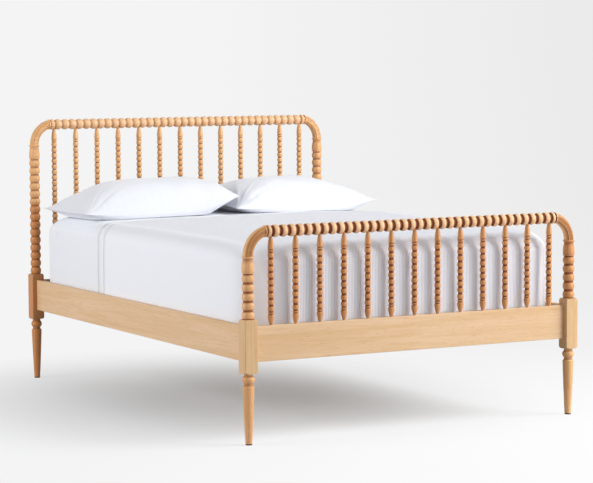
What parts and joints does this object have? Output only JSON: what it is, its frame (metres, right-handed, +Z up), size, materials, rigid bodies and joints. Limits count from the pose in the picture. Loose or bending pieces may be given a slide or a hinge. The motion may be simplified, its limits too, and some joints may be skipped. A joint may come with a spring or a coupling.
{
  "type": "spindle bed",
  "caption": "Full-size wooden bed with bead-turned posts, spindles and top rails at head and foot, plain side rails, slats, mattress, coverlet and pillows.",
  "frame": {"origin": "on the floor under the middle of the bed", "axes": "+Z up, +Y along the bed towards the headboard, X across the bed"},
  "size_m": [1.459, 2.045, 1.1276],
  "materials": {
    "maple": "satin",
    "plain_wood": "matte",
    "webbing": "matte",
    "zinc_steel": "satin",
    "glide": "matte",
    "ticking": "matte",
    "sheeting": "matte",
    "coverlet": "matte",
    "pillowcase": "matte"
  },
  "bodies": {
    "frame": {"head_post_left": "maple", "head_post_right": "maple", "head_elbow_left": "maple", "head_elbow_right": "maple", "head_top_rail": "maple", "head_lower_rail": "maple", "head_spindle_01": "maple", "head_spindle_02": "maple", "head_spindle_03": "maple", "head_spindle_04": "maple", "head_spindle_05": "maple", "head_spindle_06": "maple", "head_spindle_07": "maple", "head_spindle_08": "maple", "head_spindle_09": "maple", "head_spindle_10": "maple", "head_spindle_11": "maple", "head_spindle_12": "maple", "head_spindle_13": "maple", "foot_post_left": "maple", "foot_post_right": "maple", "foot_elbow_left": "maple", "foot_elbow_right": "maple", "foot_top_rail": "maple", "foot_lower_rail": "maple", "foot_spindle_01": "maple", "foot_spindle_02": "maple", "foot_spindle_03": "maple", "foot_spindle_04": "maple", "foot_spindle_05": "maple", "foot_spindle_06": "maple", "foot_spindle_07": "maple", "foot_spindle_08": "maple", "foot_spindle_09": "maple", "foot_spindle_10": "maple", "foot_spindle_11": "maple", "foot_spindle_12": "maple", "foot_spindle_13": "maple", "side_rail_left": "maple", "side_rail_right": "maple", "cleat_left": "plain_wood", "cleat_right": "plain_wood", "slats": "plain_wood", "centre_beam": "plain_wood", "elbow_dowels": "plain_wood", "slat_tapes": "webbing", "beam_stirrups": "zinc_steel", "stirrup_screws": "zinc_steel", "rail_hooks": "zinc_steel", "post_plates": "zinc_steel", "plate_screws": "zinc_steel", "cleat_screws": "zinc_steel", "foot_glides": "glide"},
    "mattress": {"mattress": "ticking", "fitted_sheet": "sheeting", "top_sheet": "sheeting", "coverlet": "coverlet"},
    "pillow_left": {"pillow_left": "pillowcase"},
    "pillow_right": {"pillow_right": "pillowcase"}
  },
  "joints": [
    {"name": "mattress_lift", "type": "slide", "parent": "frame", "child": "mattress", "axis": [0, 0, 1], "range_m": [0, 0.35]},
    {"name": "pillow_left_lift", "type": "slide", "parent": "mattress", "child": "pillow_left", "axis": [0, 0, 1], "range_m": [0, 0.25]},
    {"name": "pillow_right_lift", "type": "slide", "parent": "mattress", "child": "pillow_right", "axis": [0, 0, 1], "range_m": [0, 0.25]}
  ]
}
